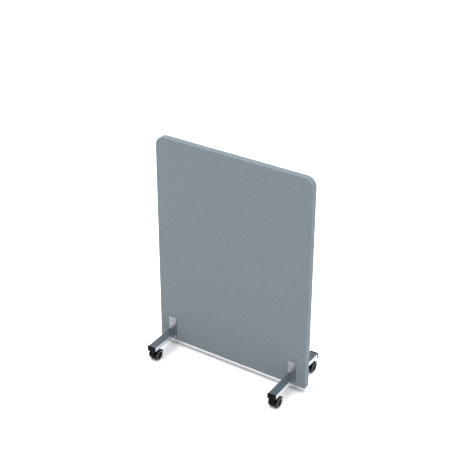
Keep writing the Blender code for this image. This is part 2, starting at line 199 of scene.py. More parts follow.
class Look:
    """A material and a short way to add nodes to it."""

    def __init__(self, name, color, roughness, metallic=0.0):
        self.material = bpy.data.materials.new(name)
        self.material.use_nodes = True
        self.material.diffuse_color = (*color, 1.0)
        self.tree = self.material.node_tree
        self.shader = self.tree.nodes["Principled BSDF"]
        self.color = color
        self.set("Base Color", (*color, 1.0))
        self.set("Roughness", roughness)
        self.set("Metallic", metallic)

    def set(self, socket, value):
        self.feed(self.shader.inputs[socket], value)

    def feed(self, socket, value):
        if isinstance(value, bpy.types.NodeSocket):
            self.tree.links.new(value, socket)
        else:
            socket.default_value = value

    def add(self, kind, inputs=(), **settings):
        node = self.tree.nodes.new("ShaderNode" + kind)
        for key, value in settings.items():
            setattr(node, key, value)
        for key, value in dict(inputs).items():
            self.feed(node.inputs[key], value)
        return node

    def math(self, operation, a, b=0.0, c=0.0):
        return self.add("Math", {0: a, 1: b, 2: c}, operation=operation).outputs[0]

    def spread(self, value, low, high):
        """A value from 0 to 1 mapped to the range from low to high."""
        return self.add("MapRange", {"Value": value, "To Min": low, "To Max": high}).outputs[0]

    def place(self, scale=(1, 1, 1)):
        """The object's own coordinates in metres, stretched by scale."""
        return self.stretched(self.add("TexCoord").outputs["Object"], scale)

    def on_cloth(self, scale=(1, 1, 1)):
        """Coordinates in metres on the cloth laid flat, stretched by scale."""
        return self.stretched(self.add("UVMap", uv_map="cloth").outputs["UV"], scale)

    def stretched(self, at, scale):
        return self.add("Mapping", {"Vector": at, "Scale": scale}).outputs[0]

    def noise(self, vector, scale, detail=2.0, roughness=0.5):
        node = self.add("TexNoise", {"Vector": vector, "Scale": scale, "Detail": detail,
                                     "Roughness": roughness})
        return node.outputs["Fac"]

    def blend(self, factor, first, second):
        """From the first number to the second as the factor goes from 0 to 1."""
        return self.add("Mix", {0: factor, 2: first, 3: second}, data_type="FLOAT").outputs[0]

    def blend_colors(self, factor, first, second):
        inputs = {0: factor, 6: (*first, 1), 7: (*second, 1)}
        return self.add("Mix", inputs, data_type="RGBA").outputs[2]

    def tint(self, factor, color=None):
        """A colour, by default the look's own, made lighter or darker by a factor about 1."""
        inputs = {0: self.color if color is None else color, "Scale": factor}
        return self.add("VectorMath", inputs, operation="SCALE").outputs[0]

    def bump(self, height, distance, strength):
        inputs = {"Height": height, "Distance": distance, "Strength": strength}
        return self.add("Bump", inputs).outputs[0]


def fabric_look():
    """Plain-woven blue-grey cloth with mixed threads."""
    look = Look("woven_fabric", (0.160, 0.187, 0.205), 0.92)
    look.set("Sheen Weight", 0.18)
    look.set("Sheen Roughness", 0.5)
    look.set("Sheen Tint", (0.80, 0.88, 0.95, 1.0))
    look.set("Specular IOR Level", 0.25)
    split = look.add("SeparateXYZ", {0: look.on_cloth()})
    warp = look.math("SINE", look.math("MULTIPLY", split.outputs[0], math.pi / THREAD_PITCH))
    weft = look.math("SINE", look.math("MULTIPLY", split.outputs[1], math.pi / THREAD_PITCH))
    over = look.math("MULTIPLY", warp, weft)
    knuckle = look.math("POWER", look.math("ABSOLUTE", over), 0.6)
    on_top = look.spread(look.math("MULTIPLY_ADD", over, 2.5, 0.5), 0.0, 1.0)

    # Thick and thin places run along each thread, and fainter streaks over many threads.
    warp_slub = look.noise(look.on_cloth((1 / THREAD_PITCH, SLUB_SCALE, 1)), 1.0, 1.0)
    weft_slub = look.noise(look.on_cloth((SLUB_SCALE, 1 / THREAD_PITCH, 1)), 1.0, 1.0)
    slub = look.blend(on_top, warp_slub, weft_slub)
    fibre = look.noise(look.on_cloth(), FIBRE_SCALE, 2.0, 0.7)
    streaks = look.noise(look.on_cloth((STREAK_ACROSS, STREAK_ALONG, 1)), 1.0)
    cross_streaks = look.noise(look.on_cloth((STREAK_ALONG, STREAK_ACROSS, 1)), 1.0)
    drift = look.noise(look.on_cloth(), DRIFT_SCALE)

    shade = look.math("ADD", look.spread(slub, 0.84, 1.16), look.spread(fibre, -0.05, 0.05))
    shade = look.math("ADD", shade, look.spread(streaks, -0.19, 0.19))
    shade = look.math("ADD", shade, look.spread(cross_streaks, -0.19, 0.19))
    shade = look.math("ADD", shade, look.spread(drift, -0.02, 0.02))
    # Darker in the low gaps between threads, where the weave dips: painted shade.
    shade = look.math("MULTIPLY", shade, look.spread(knuckle, 0.86, 1.05))
    thread = look.blend_colors(on_top, WARP_COLOR, WEFT_COLOR)
    look.set("Base Color", look.tint(shade, thread))
    look.set("Roughness", look.spread(fibre, 0.86, 0.98))
    height = look.math("ADD", knuckle, look.spread(fibre, 0.0, 0.35))
    height = look.math("ADD", height, look.spread(slub, 0.0, 0.5))
    look.set("Normal", look.bump(height, 0.00016, 0.6))
    return look.material


def tape_look():
    """Black twisted yarn."""
    look = Look("black_tape", (0.02, 0.02, 0.021), 0.8)
    twist = look.noise(look.place(), 1400.0)
    look.set("Base Color", look.tint(look.spread(twist, 0.75, 1.2)))
    look.set("Roughness", look.spread(twist, 0.7, 0.9))
    look.set("Normal", look.bump(twist, 0.0001, 0.5))
    return look.material


def metal_look(name, color, roughness, grain_axis):
    """Satin metal, brushed along one axis, given as 0, 1 or 2."""
    look = Look(name, color, roughness, 1.0)
    scale = [1500.0, 1500.0, 1500.0]
    scale[grain_axis] = 18.0
    brush = look.noise(look.place(scale), 1.0, 3.0, 0.6)
    haze = look.noise(look.place(), 14.0, 4.0, 0.6)
    pores = look.noise(look.place(), 900.0)
    shade = look.math("ADD", look.spread(brush, 0.95, 1.05), look.spread(haze, -0.05, 0.05))
    look.set("Base Color", look.tint(shade))
    rough = look.math("ADD", look.spread(brush, roughness - 0.05, roughness + 0.06),
                      look.spread(haze, -0.05, 0.06))
    look.set("Roughness", rough)
    height = look.math("ADD", brush, look.spread(pores, 0.0, 0.4))
    look.set("Normal", look.bump(height, 0.00002, 0.35))
    return look.material


def plastic_look(name, color, roughness):
    """Moulded plastic with a fine spark-eroded grain and slight dust."""
    look = Look(name, color, roughness)
    look.set("Specular IOR Level", 0.06)
    at = look.place()
    skin = look.noise(at, 2200.0, 2.0, 0.6)
    cloud = look.noise(at, 60.0, 3.0, 0.6)
    look.set("Base Color", look.tint(look.spread(cloud, 0.8, 1.35)))
    rough = look.math("ADD", look.spread(skin, roughness - 0.06, roughness + 0.06),
                      look.spread(cloud, -0.05, 0.07))
    look.set("Roughness", rough)
    look.set("Normal", look.bump(skin, 0.00003, 0.5))
    return look.material


def rubber_look():
    """Black tread, greyed by floor dust where it rolls."""
    look = Look("black_rubber", (0.010, 0.010, 0.011), 0.75)
    look.set("Specular IOR Level", 0.2)
    at = look.place()
    dust = look.noise(at, 240.0, 4.0, 0.7)
    skin = look.noise(at, 1800.0, 2.0)
    look.set("Base Color", look.tint(look.spread(dust, 0.6, 1.9)))
    look.set("Roughness", look.spread(dust, 0.62, 0.9))
    look.set("Normal", look.bump(skin, 0.00004, 0.5))
    return look.material


def wood_look():
    look = Look("pine", (0.62, 0.46, 0.28), 0.6)
    grain = look.noise(look.place((60.0, 60.0, 3.0)), 1.0, 5.0, 0.6)
    look.set("Base Color", look.tint(look.spread(grain, 0.75, 1.15)))
    look.set("Roughness", look.spread(grain, 0.5, 0.75))
    look.set("Normal", look.bump(grain, 0.0003, 0.4))
    return look.material


def felt_look():
    look = Look("core_felt", (0.55, 0.55, 0.52), 0.95)
    fibre = look.noise(look.place(), 500.0, 5.0, 0.7)
    look.set("Base Color", look.tint(look.spread(fibre, 0.75, 1.2)))
    look.set("Roughness", look.spread(fibre, 0.85, 1.0))
    look.set("Normal", look.bump(fibre, 0.0005, 0.6))
    return look.material


def floor_look():
    look = Look("pale_floor", (0.90, 0.90, 0.90), 0.9)
    look.set("Specular IOR Level", 0.1)
    return look.material


# ---------------------------------------------------------------- mesh helpers


def piece(name, mesh, material, body, stands_for=(), angle=35):
    """A finished piece that rides on a body and stands for CAD nodes."""
    mesh.name = name
    mesh.materials.clear()
    mesh.materials.append(material)
    mesh.shade_smooth()
    mesh.set_sharp_from_angle(angle=math.radians(angle))
    obj = bpy.data.objects.new(name, mesh)
    bpy.context.scene.collection.objects.link(obj)
    # Large flat faces keep their own normals beside small eased edges.
    normals = obj.modifiers.new("normals", "WEIGHTED_NORMAL")
    normals.keep_sharp = True
    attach(obj, body)
    if stands_for:
        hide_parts(*stands_for)
    return obj


def mesh_of(bm):
    bmesh.ops.recalc_face_normals(bm, faces=bm.faces)
    mesh = bpy.data.meshes.new("shape")
    bm.to_mesh(mesh)
    bm.free()
    return mesh


def turned_copy(mesh, matrix):
    copy = mesh.copy()
    copy.transform(matrix)
    return copy


def arc(u, v, radius, start, end, steps):
    """Points along an arc about (u, v), from one angle in degrees to the other."""
    angles = [math.radians(start + (end - start) * step / steps) for step in range(steps + 1)]
    return [(u + radius * math.cos(a), v + radius * math.sin(a)) for a in angles]


def rounded_outline(half_width, bottom, top, radius, steps):
    """Points round a rectangle with rounded corners, centred on the first coordinate."""
    side, low, high = half_width - radius, bottom + radius, top - radius
    return (arc(side, high, radius, 0, 90, steps) + arc(-side, high, radius, 90, 180, steps)
            + arc(-side, low, radius, 180, 270, steps) + arc(side, low, radius, 270, 360, steps))


def loft(rings, closed=False, caps=True):
    """A skin over rings of points, each ring as long as the next."""
    bm = bmesh.new()
    made = [[bm.verts.new(point) for point in ring] for ring in rings]
    pairs = list(zip(made, made[1:] + made[:1])) if closed else list(zip(made, made[1:]))
    for low, high in pairs:
        for i in range(len(low)):
            bm.faces.new((low[i - 1], low[i], high[i], high[i - 1]))
    if caps and not closed:
        bm.faces.new(reversed(made[0]))
        bm.faces.new(made[-1])
    bmesh.ops.remove_doubles(bm, verts=bm.verts, dist=1e-7)
    return mesh_of(bm)


def circle(radius, height, sides):
    angles = [2 * math.pi * side / sides for side in range(sides)]
    return [(radius * math.cos(a), radius * math.sin(a), height) for a in angles]


def hexagon(radius, height, sides, limit=1.0):
    """A ring in the shape of a hexagon, radius from the middle to a flat, cut round at a limit."""
    points = []
    for side in range(sides):
        angle = 2 * math.pi * side / sides
        from_flat = (angle + math.pi / 6) % (math.pi / 3) - math.pi / 6
        reach = min(radius / math.cos(from_flat), limit)
        points.append((reach * math.cos(angle), reach * math.sin(angle), height))
    return points


def lathe(profile, sides=WHEEL_SIDES):
    """A solid turned about Z from a closed section of (radius, height) points."""
    rings = [circle(max(radius, POINT), height, sides) for radius, height in profile]
    return loft(rings, closed=True)


def carved(mesh, cutters=(), joined=()):
    """The mesh with the joined meshes added and then the cutters taken away."""
    work = [bpy.data.objects.new("work", mesh)]
    steps = [(other, "UNION") for other in joined] + [(other, "DIFFERENCE") for other in cutters]
    for other, operation in steps:
        tool = bpy.data.objects.new("tool", other)
        work.append(tool)
        boolean = work[0].modifiers.new(operation, "BOOLEAN")
        boolean.operation = operation
        boolean.object = tool
    for obj in work:
        bpy.context.scene.collection.objects.link(obj)
    result = bpy.data.meshes.new_from_object(
        work[0].evaluated_get(bpy.context.evaluated_depsgraph_get()))
    for obj in work:
        bpy.data.objects.remove(obj, do_unlink=True)
    return result


# ---------------------------------------------------------------- panel


def panel_outline(inset):
    """Points round the panel at an inset, anticlockwise from its right side."""
    side = PANEL_WIDTH / 2 - inset
    low, high = PANEL_BOTTOM + inset, PANEL_TOP - inset
    top_radius = max(TOP_CORNER_RADIUS - inset, 0.0)
    low_radius = max(BOTTOM_CORNER_RADIUS - inset, 0.0)
    points = [(side, Z_LOW + (Z_HIGH - Z_LOW) * row / ROWS) for row in range(ROWS)]
    points += arc(side - top_radius, high - top_radius, top_radius, 0, 90, CORNER_STEPS)[:-1]
    points += [(X_SPAN - 2 * X_SPAN * column / COLUMNS, high) for column in range(COLUMNS)]
    points += arc(top_radius - side, high - top_radius, top_radius, 90, 180, CORNER_STEPS)[:-1]
    points += [(-side, Z_HIGH + (Z_LOW - Z_HIGH) * row / ROWS) for row in range(ROWS)]
    points += arc(low_radius - side, low + low_radius, low_radius, 180, 270, CORNER_STEPS)[:-1]
    points += [(2 * X_SPAN * column / COLUMNS - X_SPAN, low) for column in range(COLUMNS)]
    points += arc(side - low_radius, low + low_radius, low_radius, 270, 360, CORNER_STEPS)[:-1]
    return points


def flat_place(x, z, reach):
    """Where the cloth over an edge point lies when flat, at a reach from the corner's centre."""
    inner_x = max(min(x, X_SPAN), -X_SPAN)
    inner_z = max(min(z, Z_HIGH), Z_LOW)
    away = Vector((x - inner_x, z - inner_z)).normalized()
    return Vector((inner_x, inner_z)) + away * reach


def cloth_mesh():
    """The front cloth: its face, its wrapped edges and the rolled seam along their middle."""
    angles = [math.radians(15 * step) for step in range(7)]
    bend = [(EDGE_RADIUS * (1 - math.sin(a)), FACE_Y + EDGE_RADIUS * (1 - math.cos(a)))
            for a in angles]
    rims = [*SEAM_STEPS, *reversed(bend), *((inset, FACE_Y) for inset in FACE_INSETS)]
    lengths = [0.0]
    for (inset, y), (next_inset, next_y) in zip(rims, rims[1:]):
        lengths.append(lengths[-1] + math.hypot(next_inset - inset, next_y - y))

    bm = bmesh.new()
    layer = bm.loops.layers.uv.new("cloth")
    flat = {}
    rings = []
    edge = panel_outline(0.0)
    for (inset, y), length in zip(rims, lengths):
        ring = []
        for (x, z), (edge_x, edge_z) in zip(panel_outline(inset), edge):
            vert = bm.verts.new((x, y, z))
            flat[vert] = flat_place(edge_x, edge_z, lengths[-1] - length)
            ring.append(vert)
        rings.append(ring)
    for low, high in zip(rings, rings[1:]):
        for i in range(len(low)):
            bm.faces.new((low[i - 1], low[i], high[i], high[i - 1]))

    # The middle of the face is a grid that shares the last ring's points.
    shared = {(round(v.co.x, 5), round(v.co.z, 5)): v for v in rings[-1]}
    grid = []
    for row in range(ROWS + 1):
        z = Z_LOW + (Z_HIGH - Z_LOW) * row / ROWS
        line = []
        for column in range(COLUMNS + 1):
            x = 2 * X_SPAN * column / COLUMNS - X_SPAN
            vert = shared.get((round(x, 5), round(z, 5)))
            if vert is None:
                vert = bm.verts.new((x, FACE_Y, z))
                flat[vert] = Vector((x, z))
            line.append(vert)
        grid.append(line)
    for row in range(ROWS):
        for column in range(COLUMNS):
            bm.faces.new((grid[row][column], grid[row][column + 1],
                          grid[row + 1][column + 1], grid[row + 1][column]))

    for face in bm.faces:
        for loop in face.loops:
            loop[layer].uv = flat[loop.vert]
    for vert in bm.verts:
        # Taut cloth over thin foam has shallow hollows, which fade out at the edges.
        x, _, z = vert.co
        margin = min(PANEL_WIDTH / 2 - abs(x), PANEL_TOP - z, z - PANEL_BOTTOM)
        fade = max(0.0, min(1.0, (margin - HOLLOW_MARGIN) / HOLLOW_FADE))
        at = Vector((x * HOLLOW_SCALE, HOLLOW_SEED, z * HOLLOW_SCALE))
        vert.co.y += fade * HOLLOW_DEPTH * (0.5 + 0.5 * noise.noise(at))
    bmesh.ops.remove_doubles(bm, verts=bm.verts, dist=1e-6)
    return mesh_of(bm)


def build_panel():
    fabric = fabric_look()
    front = cloth_mesh()
    rear = turned_copy(front, Matrix.Rotation(math.pi, 4, "Z"))
    for end, mesh in (("front", front), ("rear", rear)):
        cloth = piece(f"{end}_cloth", mesh, fabric, "root", [f"{end}_cover"],
                      angle=60)
        thick = cloth.modifiers.new("thickness", "SOLIDIFY")
        thick.thickness = CLOTH_THICKNESS
        thick.offset = -1
    piece("underside_tape", tape_mesh(), tape_look(), "root")
    staple_wire = metal_look("staple_wire", (0.62, 0.62, 0.60), 0.3, 0)
    piece("underside_staples", staples_mesh(), staple_wire, "root")


def tape_mesh():
    """The tape over the cloth's ends, along the panel's underside and a little uneven."""
    half, arris = TAPE_WIDTH / 2, 0.0002
    rings = []
    for step in range(TAPE_STEPS + 1):
        x = -TAPE_LENGTH / 2 + TAPE_LENGTH * step / TAPE_STEPS
        low = TAPE_TOP - TAPE_THICKNESS + 0.00015 * noise.noise(Vector((x * 30.0, 1.3, 0.0)))
        rings.append([(x, -half, TAPE_TOP), (x, arris - half, low), (x, half - arris, low),
                      (x, half, TAPE_TOP)])
    return loft(rings)


def staples_mesh():
    """Two rows of slanted staples, each a crown whose ends turn up into the tape."""
    bm = bmesh.new()
    crown_z = TAPE_TOP - TAPE_THICKNESS - STAPLE_RADIUS * 0.6
    for staple in range(STAPLES):
        x = -STAPLE_SPAN / 2 + STAPLE_SPAN * staple / (STAPLES - 1)
        for sign in (-1, 1):
            slant = math.radians(STAPLE_SLANT * sign)
            across = Vector((-math.sin(slant), math.cos(slant), 0))
            rings = []
            for step in range(9):
                lift = STAPLE_TURN_UP if step in (0, 8) else 0.0
                along = -STAPLE_CROWN / 2 + STAPLE_CROWN * step / 8
                middle = Vector((x + along * math.cos(slant),
                                 sign * STAPLE_ROW_Y + along * math.sin(slant), crown_z + lift))
                rings.append([bm.verts.new(middle + across * STAPLE_RADIUS * math.cos(a)
                                           + Vector((0, 0, STAPLE_RADIUS * math.sin(a))))
                              for a in [math.pi * side / 3 for side in range(6)]])
            for low, high in zip(rings, rings[1:]):
                for k in range(6):
                    bm.faces.new((low[k - 1], low[k], high[k], high[k - 1]))
            bm.faces.new(reversed(rings[0]))
            bm.faces.new(rings[-1])
    return mesh_of(bm)


# ---------------------------------------------------------------- feet


def plate_section(inset, y):
    points = rounded_outline(TUBE_WIDTH / 2 - inset, PLATE_BOTTOM + inset, PLATE_TOP - inset,
                             PLATE_CORNER - inset, 6)
    return [(x, y, z) for x, z in points]


def plate_mesh():
    """A plate for the side that faces -Y, with eased edges and two countersunk holes."""
    outer, inner, ease = -PLATE_OUTER_Y, -PLATE_INNER_Y, PLATE_ARRIS
    slab = loft([plate_section(ease, outer), plate_section(ease * 0.3, outer + ease * 0.3),
                 plate_section(0, outer + ease), plate_section(0, inner - ease),
                 plate_section(ease, inner)])
    past = 2 * PLATE_THICKNESS
    sink = lathe([(0, -0.001), (MOUTH_RADIUS + 0.00025, -0.001), (MOUTH_RADIUS + 0.00025, 0.0),
                  (MOUTH_RADIUS, 0.00015), (BARREL_RADIUS, MOUTH_RADIUS - BARREL_RADIUS),
                  (BARREL_RADIUS, past), (0, past)], SCREW_SIDES)
    into_plate = Matrix.Rotation(-math.pi / 2, 4, "X")
    holes = [turned_copy(sink, Matrix.Translation((0, outer, z)) @ into_plate)
             for z in SCREW_HEIGHTS.values()]
    return carved(slab, cutters=holes)


def head_rings(radius):
    """The rings of a countersunk head with a hexagon socket, from the socket's floor outwards."""
    socket = SOCKET_RADIUS * math.cos(math.pi / 6)
    sides = SCREW_SIDES
    return [circle(POINT, 0.0024, sides), hexagon(socket * 0.6, 0.0021, sides),
            hexagon(socket, 0.0020, sides), hexagon(socket, 0.0006, sides),
            circle(SOCKET_RADIUS * 1.18, 0.0003, sides), circle(HEAD_RADIUS * 0.8, 0.00022, sides),
            circle(HEAD_RADIUS - 0.0003, 0.00032, sides), circle(HEAD_RADIUS, 0.0006, sides),
            circle(radius, HEAD_RADIUS - radius + 0.0006, sides)]


def screw_mesh():
    """A screw along Z, with its head's face at z = 0 and its thread from 10 mm on."""
    rings = head_rings(SCREW_RADIUS)
    for turn in range(24):
        low = 0.010 + turn * 0.001
        rings += [circle(SCREW_RADIUS, low, SCREW_SIDES),
                  circle(SCREW_RADIUS - 0.0004, low + 0.0005, SCREW_SIDES)]
    rings += [circle(SCREW_RADIUS - 0.0006, SCREW_LENGTH, SCREW_SIDES),
              circle(POINT, SCREW_LENGTH, SCREW_SIDES)]
    return loft(rings, caps=False)


def sleeve_mesh():
    """A sleeve nut along Z, with its head's face at z = 0 and its bore open at the far end."""
    bore = SCREW_RADIUS + GAP
    tail = ((SLEEVE_RADIUS, SLEEVE_LENGTH - 0.0004), (SLEEVE_RADIUS - 0.0004, SLEEVE_LENGTH),
            (bore, SLEEVE_LENGTH), (bore, SLEEVE_BORE_START), (POINT, SLEEVE_BORE_START))
    rings = head_rings(SLEEVE_RADIUS) + [circle(*ring, SCREW_SIDES) for ring in tail]
    return loft(rings, caps=False)


def tube_section(inset, y, corner):
    """The tube's outline at an inset, which is negative outside it."""
    points = rounded_outline(TUBE_WIDTH / 2 - inset, TUBE_BOTTOM + inset,
                             TUBE_BOTTOM + TUBE_HEIGHT - inset, corner, 8)
    return [(x, y, z) for x, z in points]


def tube_mesh():
    """A foot's tube for the side that faces -Y, up against its plate, with the castor's hole."""
    start, end = -PLATE_OUTER_Y, -TUBE_OUTER_Y
    ease = 0.0003
    rings = [tube_section(0, start + (end - start) * step / 12, TUBE_CORNER) for step in range(12)]
    rings += [tube_section(0, end + 4 * ease, TUBE_CORNER),
              tube_section(0, end + ease, TUBE_CORNER),
              tube_section(ease * 0.3, end + ease * 0.3, TUBE_CORNER - ease * 0.3),
              tube_section(ease, end, TUBE_CORNER - ease),
              tube_section(TUBE_WALL, end, TUBE_CORNER - TUBE_WALL),
              tube_section(TUBE_WALL, start, TUBE_CORNER - TUBE_WALL)]
    low, high, radius = TUBE_BOTTOM - 0.002, TUBE_BOTTOM + 2 * TUBE_WALL, THREAD_RADIUS + GAP
    drill = lathe([(0, low), (radius, low), (radius, high), (0, high)], 48)
    hole = turned_copy(drill, Matrix.Translation((0, -SWIVEL_Y, 0)))
    return carved(loft(rings, closed=True), cutters=[hole])


def weld_mesh(z, up):
    """A fillet of weld between the plate and the top or the underside of the tube."""
    sunk = 0.0008  # how far the bead reaches into the plate and the tube
    rings = []
    for station in range(WELD_STEPS + 1):
        x = -WELD_LENGTH / 2 + WELD_LENGTH * station / WELD_STEPS
        taper = min(1.0, (WELD_LENGTH / 2 - abs(x)) / 0.003 + 0.25)
        wander = 0.15 * noise.noise(Vector((x * 300, 0, z)))
        ripple = 0.16 * math.sqrt(1 - (x / WELD_PITCH + wander) % 1.0)
        lumps = 0.05 * noise.noise(Vector((x * 200, 5, z * 50)))
        size = WELD_LEG * taper * (0.86 + ripple + lumps)
        ring = [(x, sunk - PLATE_OUTER_Y, z - up * sunk)]
        for step in range(7):
            t = step / 6
            bulge = 1 + 0.18 * math.sin(math.pi * t)
            ring.append((x, -PLATE_OUTER_Y - size * t * bulge * 0.98,
                         z + up * size * (1 - t) * bulge))
        ring.append((x, -PLATE_OUTER_Y - size * 0.98, z - up * sunk))
        rings.append(ring)
    return loft(rings)


def cap_mesh():
    """An end cap for the side that faces -Y: a softly domed lid and the collar inside the tube."""
    outer = -FOOT_DEPTH / 2
    inner = outer + CAP_THICKNESS
    tip = inner + CAP_COLLAR_LENGTH
    rings = [tube_section(0.0085, outer + 0.00001, 0.002),
             tube_section(0.005, outer + 0.00004, 0.0022),
             tube_section(0.001, outer + 0.00012, 0.0024)]
    for step in range(5):
        turn = math.radians(90 * step / 4)
        inset = CAP_ARRIS * (1 - math.sin(turn))
        rings.append(tube_section(inset - CAP_LIP,
                                  outer + 0.00015 + CAP_ARRIS * (1 - math.cos(turn)),
                                  max(TUBE_CORNER - inset, 0.0015)))
    for inset, back in ((0, 0.0006), (0.0004, 0.0002), (0.0006, 0)):
        rings.append(tube_section(inset - CAP_LIP, inner - back, TUBE_CORNER - inset))
    gap, wall = TUBE_WALL + GAP, CAP_COLLAR_WALL
    for inset, y in ((gap, inner), (gap, tip - 0.001), (gap + 0.0006, tip), (gap + wall, tip),
                     (gap + wall, inner + 0.001)):
        rings.append(tube_section(inset, y, 0.001))
    return loft(rings)


def stem_mesh():
    """The castor's stem about Z: chamfered hexagon collar, thread and pin."""
    sides = WHEEL_SIDES
    top = TUBE_BOTTOM - GAP
    bottom = top - COLLAR_HEIGHT
    flat = COLLAR_FLATS / 2
    rings = [circle(POINT, PIN_BOTTOM, sides), circle(PIN_RADIUS - 0.001, PIN_BOTTOM, sides),
             circle(PIN_RADIUS, PIN_BOTTOM + 0.001, sides), circle(PIN_RADIUS, bottom, sides),
             hexagon(flat, bottom, sides, flat * 0.99),
             hexagon(flat, bottom + 0.0006, sides, flat * 1.09),
             hexagon(flat, bottom + 0.0009, sides), hexagon(flat, top - 0.0009, sides),
             hexagon(flat, top - 0.0006, sides, flat * 1.09),
             hexagon(flat, top, sides, flat * 0.99), circle(THREAD_RADIUS, top, sides)]
    height = TUBE_BOTTOM + 0.0005
    while height < THREAD_TOP - 0.0015:
        rings += [circle(THREAD_RADIUS, height, sides),
                  circle(THREAD_RADIUS - 0.0006, height + 0.0006, sides)]
        height += 0.00125
    rings += [circle(THREAD_RADIUS - 0.0008, THREAD_TOP, sides), circle(POINT, THREAD_TOP, sides)]
    return loft(rings, caps=False)


def build_feet():
    tube_metal = metal_look("satin_tube", (0.49, 0.53, 0.58), 0.20, 1)
    plate_metal = metal_look("satin_plate", (0.262, 0.278, 0.315), 0.31, 2)
    zinc = metal_look("zinc_steel", (0.62, 0.62, 0.60), 0.32, 2)
    # The welds are real, but their near-black colour, far darker than the tube and plate, is
    # painted shade where plate and tube meet.
    weld_painted_shade = metal_look("weld_painted_shade", (0.09, 0.095, 0.105), 0.50, 0)
    screw_metal = metal_look("screw_steel", (0.27, 0.28, 0.31), 0.30, 2)
    black = plastic_look("black_plastic", (0.003, 0.003, 0.004), 0.42)
    plate, tube, cap, stem = plate_mesh(), tube_mesh(), cap_mesh(), stem_mesh()
    welds = {"upper": weld_mesh(TUBE_BOTTOM + TUBE_HEIGHT, 1), "lower": weld_mesh(TUBE_BOTTOM, -1)}
    screw, sleeve = screw_mesh(), sleeve_mesh()
    for side, side_sign in SIDES.items():
        x = side_sign * FOOT_X
        for end, end_sign in ENDS.items():
            name = f"{end}_{side}"
            about = Matrix.Translation((x, 0, 0))
            if end_sign > 0:
                about = about @ Matrix.Rotation(math.pi, 4, "Z")
            for part, mesh, material, slot in (("plate", plate, plate_metal, "satin_plate"),
                                               ("tube", tube, tube_metal, "satin_tube"),
                                               ("end_cap", cap, black, "black_plastic")):
                piece(f"{name}_{part}_finished", turned_copy(mesh, about), material, "root",
                      [f"{name}_{part}"])
            for row, mesh in welds.items():
                piece(f"{name}_{row}_weld", turned_copy(mesh, about), weld_painted_shade, "root")
            swivel = Matrix.Translation((x, end_sign * SWIVEL_Y, 0))
            piece(f"{name}_stem_finished", turned_copy(stem, swivel), zinc, "root",
                  [f"{name}_castor_stem"])
            dress(f"{name}_castor_nut", zinc)
            dress(f"{name}_axle", zinc)
        for row, z in SCREW_HEIGHTS.items():
            for kind, mesh, sign in (("screw", screw, -1), ("sleeve_nut", sleeve, 1)):
                at = Matrix.Translation((x, sign * PLATE_OUTER_Y, z))
                at = at @ Matrix.Rotation(sign * math.pi / 2, 4, "X")
                # Every socket ends up turned its own way.
                at = at @ Matrix.Rotation(0.3 * side_sign + 0.7 * z * 10, 4, "Z")
                piece(f"{side}_{row}_{kind}_finished", turned_copy(mesh, at), screw_metal, "root",
                      [f"{side}_{row}_{kind}"])


def dress(node, material):
    """A carried-over CAD node gets a material of this scene."""
    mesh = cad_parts[node].data
    mesh.materials.clear()
    mesh.materials.append(material)


# ---------------------------------------------------------------- castors


def fender_section(angle, thin):
    """The fender's section across, at an angle in degrees, thinner towards its two ends."""
    middle = (HOOD_INNER_RADIUS + HOOD_OUTER_RADIUS) / 2
    low = middle + (HOOD_INNER_RADIUS - middle) * thin
    high = middle + (HOOD_OUTER_RADIUS - HOOD_CROWN - middle) * thin
    edge = 0.0009 * thin
    width = HOOD_HALF_WIDTH - (1 - thin) * 0.0012
    points = []
    for step in range(9):
        x = -width + edge + (2 * width - 2 * edge) * step / 8
        points.append((x, high + HOOD_CROWN * (1 - (x / HOOD_HALF_WIDTH) ** 2) * thin))
    corner = [(width - edge + edge * math.cos(a), high - edge + edge * math.sin(a))
              for a in [math.radians(90 - 30 * step) for step in (1, 2, 3)]]
    points += corner
    points += [(width - 2 * width * step / 8, low) for step in range(9)]
    points += [(-x, radius) for x, radius in reversed(corner)]
    turn = math.radians(angle)
    return [(x, HOOD_Y + radius * math.cos(turn), HOOD_Z + radius * math.sin(turn))
            for x, radius in points]


def shrunk(points, inset):
    """An outline moved inwards by an inset."""
    moved = []
    for i, (u, v) in enumerate(points):
        before, after = Vector(points[i - 1]), Vector(points[(i + 1) % len(points)])
        along = (after - before).normalized()
        moved.append((u - along.y * inset, v + along.x * inset))
    return moved


def web_mesh():
    """The web between the two wheels, from the fender down to the axle's boss."""
    outline = (arc(HOOD_Y, HOOD_Z, WEB_RADIUS, HOOD_START + 0.5, HOOD_END - 0.5, 56)
               + arc(CASTOR_TRAIL, WHEEL_RADIUS, AXLE_BOSS_RADIUS, HOOD_END + WEB_SPREAD,
                     HOOD_START + 360 - WEB_SPREAD, 10))
    ease, half = 0.0007, WEB_HALF_WIDTH
    steps = ((-half, ease), (-half + ease * 0.3, ease * 0.3), (-half + ease, 0),
             (half - ease, 0), (half - ease * 0.3, ease * 0.3), (half, ease))
    return loft([[(x, u, v) for u, v in shrunk(outline, inset)] for x, inset in steps])


